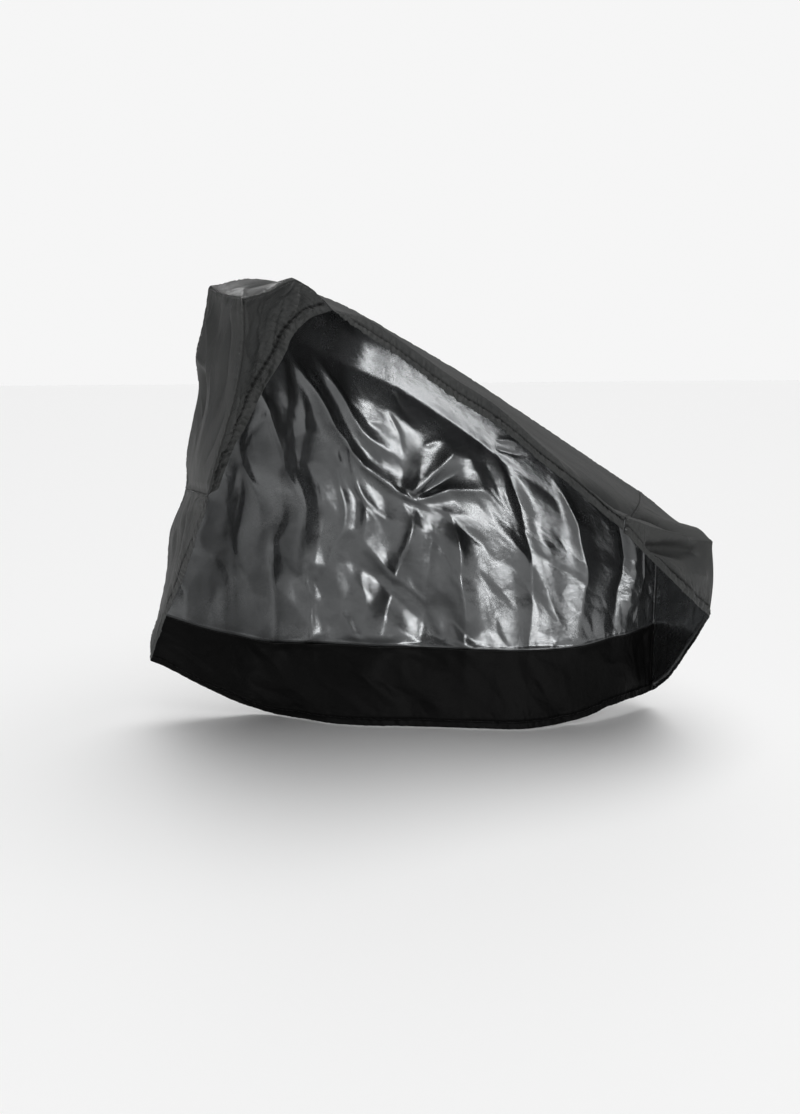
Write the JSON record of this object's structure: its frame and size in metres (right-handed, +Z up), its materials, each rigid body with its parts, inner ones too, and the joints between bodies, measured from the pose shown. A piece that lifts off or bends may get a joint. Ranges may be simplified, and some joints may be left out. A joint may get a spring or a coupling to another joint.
{
  "type": "fitted bicycle cover",
  "caption": "Fitted hem-gathered cloth cover for a bicycle, hanging hollow with one side hitched up and its tail hooked over.",
  "frame": {"origin": "the point under the top, near the front, that holds the cover up", "axes": "+X from the front to the tail, +Y from the open near side to the far side, +Z up; the floor is at z = -1.310"},
  "size_m": [1.5934, 0.9671, 1.3302],
  "materials": {
    "outer_cloth": "fine black polyester weave, dull sheen outside, smooth coating inside",
    "coated_cloth": "the same weave, its inner face with a glossy dark grey coating that mirrors light in its creases",
    "skirt_cloth": "matt black weave without the glossy coating"
  },
  "bodies": {
    "root": {"near_side": "outer_cloth", "front_upper": "outer_cloth", "front_lower": "outer_cloth", "top": "outer_cloth", "tail": "outer_cloth", "far_side": "coated_cloth", "far_skirt": "skirt_cloth"}
  },
  "joints": []
}
